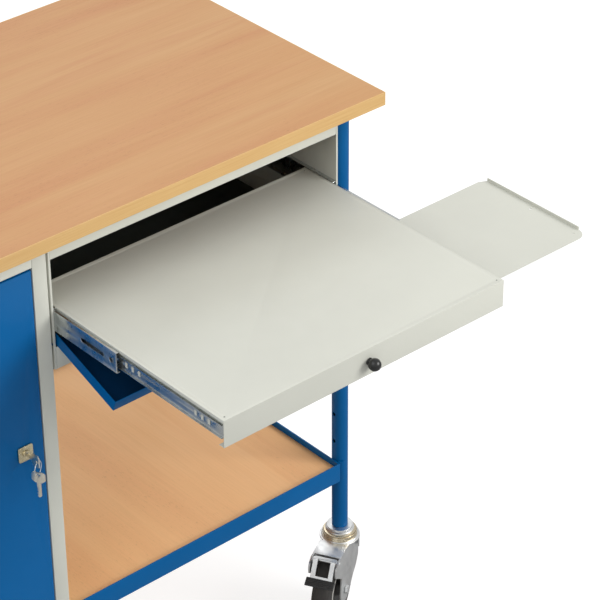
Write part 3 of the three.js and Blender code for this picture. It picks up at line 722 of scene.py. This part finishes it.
BALL_SHARE = 0.86                            # the ball is drawn smaller than the frame's knob
BALL_SET_BACK = 1.5 * MM
low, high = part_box("tray_knob")
knob_radius = BALL_SHARE * (high.x - low.x) / 2
reach = (high.y - low.y) - (high.x - low.x) / 2 - BALL_SET_BACK
ball = arc((0, reach), knob_radius, -62, 90, 20)
ball[-1] = (0, ball[-1][1])
neck = [(0, 0), (6.6 * MM, 0), (6.6 * MM, 1.6 * MM), (5.0 * MM, 3 * MM)]
middle = centre("tray_knob")
here = Matrix.Translation((middle.x, high.y, middle.z)) @ along((0, -1, 0))
knob = as_object("tray_knob_shown", moved(turned(neck + ball, 48), here), BLACK_GLOSS)
place(smooth(knob, 50), "tray_knob", "black_plastic")
print("knob radius", round(knob_radius, 4))

# %% [markdown]
# ## Lock and keys
# The lock is a small cylinder in a rounded square plate. One key stands in it, and its twin
# hangs on a split ring below.

# %% Lock
softened("lock_body", NICKEL, "nickel_plate", 0.8, 3)
softened("lock_barrel", NICKEL, "nickel_plate", 0.3)
softened("key", KEY_STEEL, "nickel_plate", 0.25)
softened("spare_key", KEY_STEEL, "nickel_plate", 0.25)
softened("key_ring", ZINC, "zinc_plate", 0.05)
print("lock at", tuple(round(v, 3) for v in centre("lock_body")))

# %% [markdown]
# ## Castors
# Each castor has a ball race fixed in the leg, a pressed fork that swivels under it, and a wheel
# with a rubber tyre. The race and the crown of the fork are turned afresh, with far more sides
# than the frame's, because their rings are stacked bright and dark and a facet would show. All
# heights are taken from the frame: the crown sits ten millimetres over the wheel.

# %% Race and fork
HEADING = math.radians(209)
TRAIL_WAY = Vector((math.cos(HEADING), math.sin(HEADING), 0))
ACROSS_WAY = Vector((-math.sin(HEADING), math.cos(HEADING), 0))


def lathe(name, profile, here, material, node, slot, close=False, degrees=32):
    """A profile in millimetres, turned, set in place and put on the body of its node."""
    bm = turned([(radius * MM, height * MM) for radius, height in profile], 64, close)
    return place(smooth(as_object(name, moved(bm, here), material), degrees), node, slot)


CROWN_GAP = 10
STEM_GAP = 0.3
wheel_low, wheel_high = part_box("castor_wheel_front_right")
WHEEL_RADIUS = (wheel_high.z - wheel_low.z) / 2 / MM
crown = 2 * WHEEL_RADIUS + CROWN_GAP
tube_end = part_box("leg_front_right")[0].z / MM - STEM_GAP
for corner in CORNERS:
    axis = centre("leg_" + corner)
    here = Matrix.Translation((axis.x, axis.y, 0))
    lathe("race_" + corner, [
        (19, crown + 5), (19, crown + 10), (30.3, crown + 10), (30.6, crown + 15.6),
        (30.2, crown + 16.4), (27, crown + 17.2), (27, crown + 18.6),
    ], here, RACE_STEEL, "castor_head_" + corner, "zinc_plate")
    lathe("stem_" + corner, [
        (26.6, crown + 17), (27.2, crown + 17.4), (27.2, crown + 20.2), (26.8, crown + 20.7),
        (23.2, crown + 22), (23, tube_end - 4), (24.3, tube_end - 3.4), (24.6, tube_end - 2.8),
        (24.6, tube_end - 0.8), (24.2, tube_end - 0.2), (13, tube_end), (13, tube_end + 60),
        (10, tube_end + 64), (0, tube_end + 64),
    ], here, ZINC, "castor_head_" + corner, "zinc_plate")
    softened("castor_fork_" + corner, ZINC, "zinc_plate", 0.6, 3)
    lathe("crown_cup_" + corner, [
        (31.2, crown + 13.6), (31.4, crown + 14.2), (31.9, crown + 14.2), (32.3, crown + 13.6),
        (32.5, crown + 4.6),
    ], here, RACE_STEEL, "castor_fork_" + corner, "zinc_plate")
    lathe("crown_flange_" + corner, [
        (32.2, crown + 5.0), (33.2, crown + 5.2), (34.2, crown + 4.2), (35.2, crown + 3.4),
        (37.2, crown + 3.2), (37.8, crown + 2.7), (37.9, crown + 0.2), (37.3, crown - 0.3),
    ], here, ZINC, "castor_fork_" + corner, "zinc_plate")
    softened("castor_axle_" + corner, ZINC, "zinc_plate", 0.5)
print("crown at", crown, "tube ends at", round(tube_end, 2))

# %% [markdown]
# The wheel is three mouldings: a dark centre with a raised hub, a thin pale lip at the seat of
# the tyre, and the tyre, whose tread is slightly crowned and whose sides are eased.

# %% Wheels
def mirrored(half):
    return half + [(radius, -height) for radius, height in reversed(half)]


for corner in CORNERS:
    node = "castor_wheel_" + corner
    here = Matrix.Translation(centre(node)) @ along(ACROSS_WAY)
    r = WHEEL_RADIUS
    seat = 0.6 * r
    tread = [
        (seat, 15.6), (seat + 0.6, 16.6), (seat + 1.6, 17), (r - 10, 17), (r - 5, 15.6),
        (r - 2, 12), (r - 0.5, 7), (r, 2),
    ]
    lathe("tyre_" + corner, mirrored(tread), here, TYRE_RUBBER, node, "rubber_tyre", True, 40)
    lip = [
        (seat - 4.4, 13.5), (seat - 4.4, 16.8), (seat - 3.9, 17.3), (seat - 0.6, 17.3),
        (seat - 0.1, 16.8),
    ]
    lathe("rim_lip_" + corner, mirrored(lip), here, RIM_PALE, node, "rubber_tyre", True)
    disc = [
        (6.3, 23.4), (13.4, 23.4), (14, 22.6), (15.5, 14.6), (17, 13.1), (seat - 8, 13.1),
        (seat - 4.5, 15),
    ]
    lathe("rim_" + corner, mirrored(disc), here, RIM_DARK, node, "rubber_tyre", True)
print("wheel radius", WHEEL_RADIUS)

# %% [markdown]
# The brake pedal is a zinc lever with a window, and a black step pad moulded over its end. Both
# are outlines in the plane of the wheel, pushed across it: the first number runs out along the
# trail from the pedal's pivot, the second runs up. The pad's grip is a row of round ribs.

# %% Brake pedals
def across(outline, half, here):
    """An outline of (out, up) in millimetres, pushed across the wheel to both sides."""
    bm = bmesh.new()
    sides = [[bm.verts.new((u * MM, n * MM, v * MM)) for u, v in outline] for n in (-half, half)]
    bm.faces.new(sides[0])
    bm.faces.new(sides[1][::-1])
    count = len(outline)
    for step in range(count):
        after = (step + 1) % count
        bm.faces.new((sides[0][step], sides[1][step], sides[1][after], sides[0][after]))
    bmesh.ops.recalc_face_normals(bm, faces=bm.faces)
    return moved(bm, here)


LEVER = [(-4, 5), (7, 6), (28.4, -25.6), (26.2, -27.0), (5.8, 3.4), (-4, 2.5)]
WINDOW = [(6.0, 9.0), (0.0, 1.0), (17.5, -24.4), (30.0, -16.4)]
PAD = [(26.6, -26.4), (27.4, -22.9), (31.2, -25.2), (41.2, -32.2), (39.8, -34.8), (36.4, -34.6)]
RIBS = [(29.0, -23.9), (31.6, -25.6), (34.2, -27.4), (36.8, -29.2), (39.4, -31.0)]
RIB = [(0, 0), (0.7, 0), (1.0, 0.4), (1.0, 54.4), (0.7, 54.8), (0, 54.8)]
PIN = [(0, -28.3), (2.2, -28.3), (2.5, -28), (2.5, 28), (2.2, 28.3), (0, 28.3)]
EYE = arc((0, 0), 5, 90, 300, 14) + [(8, -2), (8, 4)]
EYE_OUT = 22.2
PIVOT_OUT = 80
PIVOT_DROP = 4
turn = Matrix((TRAIL_WAY, ACROSS_WAY, (0, 0, 1))).transposed().to_4x4()
for corner in ["front_right", "front_left"]:
    node = "brake_pedal_" + corner
    axis = centre("leg_" + corner)
    pivot = Vector((axis.x, axis.y, (crown - PIVOT_DROP) * MM)) + TRAIL_WAY * PIVOT_OUT * MM
    here = Matrix.Translation(pivot) @ turn
    lever = as_object("lever_" + corner, across(LEVER, 21.7, here), ZINC)
    cut_away(lever, [as_object("window", across(WINDOW, 12.5, here), ZINC)])
    place(round_edges(lever, 0.5 * MM), node, "black_plastic")
    pad = as_object("pad_" + corner, across(PAD, 28, here), PEDAL_BLACK)
    place(round_edges(pad, 0.8 * MM, 3, 20), node, "black_plastic")
    for hand in (-1, 1):
        shift = here @ Matrix.Translation((0, hand * EYE_OUT * MM, 0))
        eye = as_object(f"eye_{corner}_{hand}", across(EYE, 1.5, shift), ZINC)
        place(round_edges(eye, 0.3 * MM), node, "black_plastic")
    lathe("pin_" + corner, PIN, here @ along((0, 1, 0)), ZINC, node, "black_plastic")
    for step, (out, up) in enumerate(RIBS):
        start = Matrix.Translation((out * MM, -RIB[-1][1] / 2 * MM, up * MM))
        aim = here @ start @ along((0, 1, 0))
        lathe(f"pad_rib_{corner}_{step}", RIB, aim, PEDAL_BLACK, node, "black_plastic")
print("pedals: 2")

# %% [markdown]
# ## Small fittings
# The tray's four corner holes are closed from below by push-in caps, which also keep the sheet
# from showing what is under it.

# %% Fittings
CAP_INSET = 8.5 * MM
CAP = [(0, -0.9), (1.55, -0.9), (1.55, -1.5), (0, -1.5)]
tray_low, tray_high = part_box("pull_out_tray")
for x in (tray_low.x + CAP_INSET, tray_high.x - CAP_INSET):
    for y in (tray_low.y + CAP_INSET, tray_high.y - CAP_INSET):
        here = Matrix.Translation((x, y, tray_high.z))
        # The caps take the same dark grey that paints the shade inside the housing.
        lathe(f"tray_cap_{x:.2f}_{y:.2f}", CAP, here, PAINTED_SHADE_GREY, "pull_out_tray", "grey_coat")
print("caps: 4")
